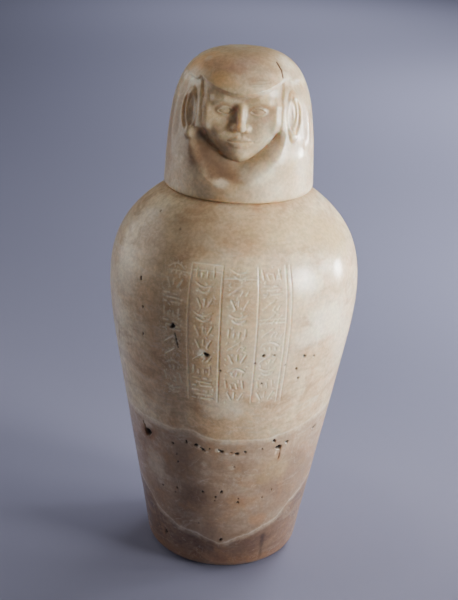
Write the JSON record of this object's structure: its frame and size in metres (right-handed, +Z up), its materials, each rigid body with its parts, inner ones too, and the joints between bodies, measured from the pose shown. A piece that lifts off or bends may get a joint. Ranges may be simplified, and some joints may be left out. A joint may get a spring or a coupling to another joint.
{
  "type": "canopic jar",
  "caption": "Hollow shouldered stone jar with an engraved front panel and a loose lid carved as a human head in a plain wig.",
  "frame": {"origin": "centre of the jar's flat underside", "axes": "+Z up the jar's middle, -Y towards the front, which the face on the lid looks along"},
  "size_m": [0.185, 0.185, 0.391],
  "materials": {
    "jar_calcite": "polished banded calcite with veins, holes and worn patches",
    "lid_calcite": "polished mottled calcite with a soft gloss"
  },
  "bodies": {
    "root": {"jar": "jar_calcite", "lid_head": "lid_calcite"}
  },
  "joints": []
}
